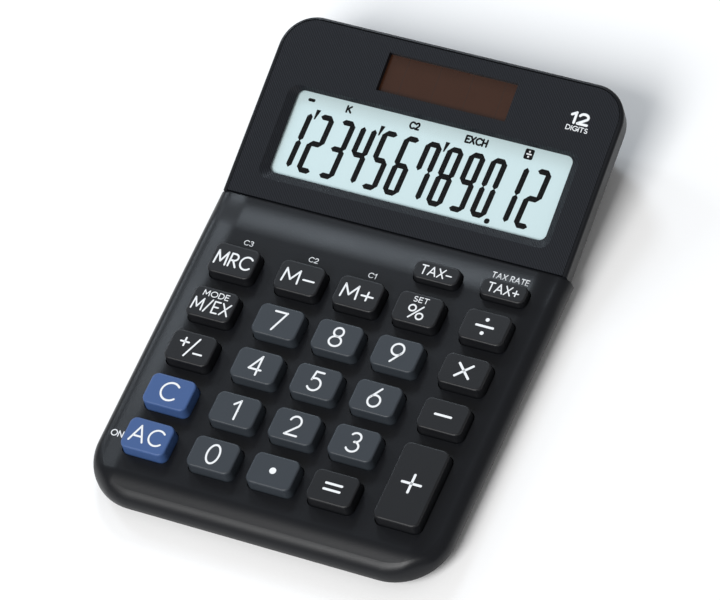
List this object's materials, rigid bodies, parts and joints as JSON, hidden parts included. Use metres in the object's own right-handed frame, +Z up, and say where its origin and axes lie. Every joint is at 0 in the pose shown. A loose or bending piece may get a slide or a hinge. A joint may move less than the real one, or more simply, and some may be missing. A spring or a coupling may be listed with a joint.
{
  "type": "desk calculator",
  "caption": "Desk calculator with a tilted display under a clear window, a solar cell and travelling keys on a nearly level deck.",
  "frame": {"origin": "on the standing surface, under the middle of the calculator's outline", "axes": "+X to the right, +Y to the back where the display stands higher, +Z up"},
  "size_m": [0.1046, 0.1494, 0.0221],
  "materials": {
    "case_plastic": "fine matt moulded ABS, near black",
    "panel_plastic": "near-black faceplate with a very fine slanted line texture",
    "clear_window": "clear acrylic window",
    "display_glass": "thin display glass",
    "reflector_foil": "pale blue-green reflective film",
    "solar_glass": "dark brown amorphous solar cell behind glass",
    "foam": "soft black foam pad",
    "inner_plastic": "plain moulded plastic",
    "ribbon_film": "flat heat-sealed ribbon",
    "silicone": "grey silicone rubber keypad",
    "carbon": "printed carbon contact",
    "board_laminate": "phenolic circuit board",
    "chip_resin": "glob of black resin over the chip",
    "ceramic_brown": "ceramic capacitor",
    "ceramic_black": "chip resistor",
    "foot_rubber": "soft black rubber",
    "screw_steel": "zinc-plated steel",
    "contact_metal": "nickel-plated spring strip",
    "cell_steel": "bright steel can",
    "wire_jacket": "insulated hook-up wire",
    "key_grey": "satin slate-grey key cap",
    "key_black": "satin near-black key cap",
    "key_blue": "satin blue key cap"
  },
  "bodies": {
    "housing": {"upper_case": "case_plastic", "display_panel": "panel_plastic", "display_window": "clear_window", "lcd_front_glass": "display_glass", "lcd_rear_glass": "display_glass", "lcd_reflector": "reflector_foil", "solar_cell": "solar_glass", "solar_foam": "foam", "display_holder": "inner_plastic", "display_ribbon": "ribbon_film", "rubber_keypad": "silicone", "contact_pills": "carbon", "circuit_board": "board_laminate", "contact_pads": "carbon", "controller_chip": "chip_resin", "board_capacitors": "ceramic_brown", "board_resistors": "ceramic_black", "rear_case": "case_plastic", "rubber_feet": "foot_rubber", "case_screws": "screw_steel", "board_screws": "screw_steel", "holder_screws": "screw_steel", "battery_contact_negative": "contact_metal", "button_cell": "cell_steel", "battery_contact_positive": "contact_metal", "solar_wires": "wire_jacket", "battery_wires": "wire_jacket"},
    "key_mrc_body": {"key_mrc": "key_black"},
    "key_m_minus_body": {"key_m_minus": "key_black"},
    "key_m_plus_body": {"key_m_plus": "key_black"},
    "key_percent_body": {"key_percent": "key_black"},
    "key_divide_body": {"key_divide": "key_black"},
    "key_mode_body": {"key_mode": "key_black"},
    "key_7_body": {"key_7": "key_grey"},
    "key_8_body": {"key_8": "key_grey"},
    "key_9_body": {"key_9": "key_grey"},
    "key_multiply_body": {"key_multiply": "key_black"},
    "key_sign_body": {"key_sign": "key_black"},
    "key_4_body": {"key_4": "key_grey"},
    "key_5_body": {"key_5": "key_grey"},
    "key_6_body": {"key_6": "key_grey"},
    "key_minus_body": {"key_minus": "key_black"},
    "key_c_body": {"key_c": "key_blue"},
    "key_1_body": {"key_1": "key_grey"},
    "key_2_body": {"key_2": "key_grey"},
    "key_3_body": {"key_3": "key_grey"},
    "key_ac_body": {"key_ac": "key_blue"},
    "key_0_body": {"key_0": "key_grey"},
    "key_point_body": {"key_point": "key_grey"},
    "key_equals_body": {"key_equals": "key_black"},
    "key_plus_body": {"key_plus": "key_black"},
    "key_tax_minus_body": {"key_tax_minus": "key_black"},
    "key_tax_plus_body": {"key_tax_plus": "key_black"}
  },
  "joints": [
    {"name": "press_mrc", "type": "slide", "parent": "housing", "child": "key_mrc_body", "axis": [0, 0.0175, -0.9998], "range_m": [0, 0.0012], "stiffness_N_per_m": 300, "deforming": ["rubber_keypad", "contact_pills"]},
    {"name": "press_m_minus", "type": "slide", "parent": "housing", "child": "key_m_minus_body", "axis": [0, 0.0175, -0.9998], "range_m": [0, 0.0012], "stiffness_N_per_m": 300, "deforming": ["rubber_keypad", "contact_pills"]},
    {"name": "press_m_plus", "type": "slide", "parent": "housing", "child": "key_m_plus_body", "axis": [0, 0.0175, -0.9998], "range_m": [0, 0.0012], "stiffness_N_per_m": 300, "deforming": ["rubber_keypad", "contact_pills"]},
    {"name": "press_percent", "type": "slide", "parent": "housing", "child": "key_percent_body", "axis": [0, 0.0175, -0.9998], "range_m": [0, 0.0012], "stiffness_N_per_m": 300, "deforming": ["rubber_keypad", "contact_pills"]},
    {"name": "press_divide", "type": "slide", "parent": "housing", "child": "key_divide_body", "axis": [0, 0.0175, -0.9998], "range_m": [0, 0.0012], "stiffness_N_per_m": 300, "deforming": ["rubber_keypad", "contact_pills"]},
    {"name": "press_mode", "type": "slide", "parent": "housing", "child": "key_mode_body", "axis": [0, 0.0175, -0.9998], "range_m": [0, 0.0012], "stiffness_N_per_m": 300, "deforming": ["rubber_keypad", "contact_pills"]},
    {"name": "press_7", "type": "slide", "parent": "housing", "child": "key_7_body", "axis": [0, 0.0175, -0.9998], "range_m": [0, 0.0012], "stiffness_N_per_m": 300, "deforming": ["rubber_keypad", "contact_pills"]},
    {"name": "press_8", "type": "slide", "parent": "housing", "child": "key_8_body", "axis": [0, 0.0175, -0.9998], "range_m": [0, 0.0012], "stiffness_N_per_m": 300, "deforming": ["rubber_keypad", "contact_pills"]},
    {"name": "press_9", "type": "slide", "parent": "housing", "child": "key_9_body", "axis": [0, 0.0175, -0.9998], "range_m": [0, 0.0012], "stiffness_N_per_m": 300, "deforming": ["rubber_keypad", "contact_pills"]},
    {"name": "press_multiply", "type": "slide", "parent": "housing", "child": "key_multiply_body", "axis": [0, 0.0175, -0.9998], "range_m": [0, 0.0012], "stiffness_N_per_m": 300, "deforming": ["rubber_keypad", "contact_pills"]},
    {"name": "press_sign", "type": "slide", "parent": "housing", "child": "key_sign_body", "axis": [0, 0.0175, -0.9998], "range_m": [0, 0.0012], "stiffness_N_per_m": 300, "deforming": ["rubber_keypad", "contact_pills"]},
    {"name": "press_4", "type": "slide", "parent": "housing", "child": "key_4_body", "axis": [0, 0.0175, -0.9998], "range_m": [0, 0.0012], "stiffness_N_per_m": 300, "deforming": ["rubber_keypad", "contact_pills"]},
    {"name": "press_5", "type": "slide", "parent": "housing", "child": "key_5_body", "axis": [0, 0.0175, -0.9998], "range_m": [0, 0.0012], "stiffness_N_per_m": 300, "deforming": ["rubber_keypad", "contact_pills"]},
    {"name": "press_6", "type": "slide", "parent": "housing", "child": "key_6_body", "axis": [0, 0.0175, -0.9998], "range_m": [0, 0.0012], "stiffness_N_per_m": 300, "deforming": ["rubber_keypad", "contact_pills"]},
    {"name": "press_minus", "type": "slide", "parent": "housing", "child": "key_minus_body", "axis": [0, 0.0175, -0.9998], "range_m": [0, 0.0012], "stiffness_N_per_m": 300, "deforming": ["rubber_keypad", "contact_pills"]},
    {"name": "press_c", "type": "slide", "parent": "housing", "child": "key_c_body", "axis": [0, 0.0175, -0.9998], "range_m": [0, 0.0012], "stiffness_N_per_m": 300, "deforming": ["rubber_keypad", "contact_pills"]},
    {"name": "press_1", "type": "slide", "parent": "housing", "child": "key_1_body", "axis": [0, 0.0175, -0.9998], "range_m": [0, 0.0012], "stiffness_N_per_m": 300, "deforming": ["rubber_keypad", "contact_pills"]},
    {"name": "press_2", "type": "slide", "parent": "housing", "child": "key_2_body", "axis": [0, 0.0175, -0.9998], "range_m": [0, 0.0012], "stiffness_N_per_m": 300, "deforming": ["rubber_keypad", "contact_pills"]},
    {"name": "press_3", "type": "slide", "parent": "housing", "child": "key_3_body", "axis": [0, 0.0175, -0.9998], "range_m": [0, 0.0012], "stiffness_N_per_m": 300, "deforming": ["rubber_keypad", "contact_pills"]},
    {"name": "press_ac", "type": "slide", "parent": "housing", "child": "key_ac_body", "axis": [0, 0.0175, -0.9998], "range_m": [0, 0.0012], "stiffness_N_per_m": 300, "deforming": ["rubber_keypad", "contact_pills"]},
    {"name": "press_0", "type": "slide", "parent": "housing", "child": "key_0_body", "axis": [0, 0.0175, -0.9998], "range_m": [0, 0.0012], "stiffness_N_per_m": 300, "deforming": ["rubber_keypad", "contact_pills"]},
    {"name": "press_point", "type": "slide", "parent": "housing", "child": "key_point_body", "axis": [0, 0.0175, -0.9998], "range_m": [0, 0.0012], "stiffness_N_per_m": 300, "deforming": ["rubber_keypad", "contact_pills"]},
    {"name": "press_equals", "type": "slide", "parent": "housing", "child": "key_equals_body", "axis": [0, 0.0175, -0.9998], "range_m": [0, 0.0012], "stiffness_N_per_m": 300, "deforming": ["rubber_keypad", "contact_pills"]},
    {"name": "press_plus", "type": "slide", "parent": "housing", "child": "key_plus_body", "axis": [0, 0.0175, -0.9998], "range_m": [0, 0.0012], "stiffness_N_per_m": 300, "deforming": ["rubber_keypad", "contact_pills"]},
    {"name": "press_tax_minus", "type": "slide", "parent": "housing", "child": "key_tax_minus_body", "axis": [0, 0.0175, -0.9998], "range_m": [0, 0.0012], "stiffness_N_per_m": 300, "deforming": ["rubber_keypad", "contact_pills"]},
    {"name": "press_tax_plus", "type": "slide", "parent": "housing", "child": "key_tax_plus_body", "axis": [0, 0.0175, -0.9998], "range_m": [0, 0.0012], "stiffness_N_per_m": 300, "deforming": ["rubber_keypad", "contact_pills"]}
  ]
}
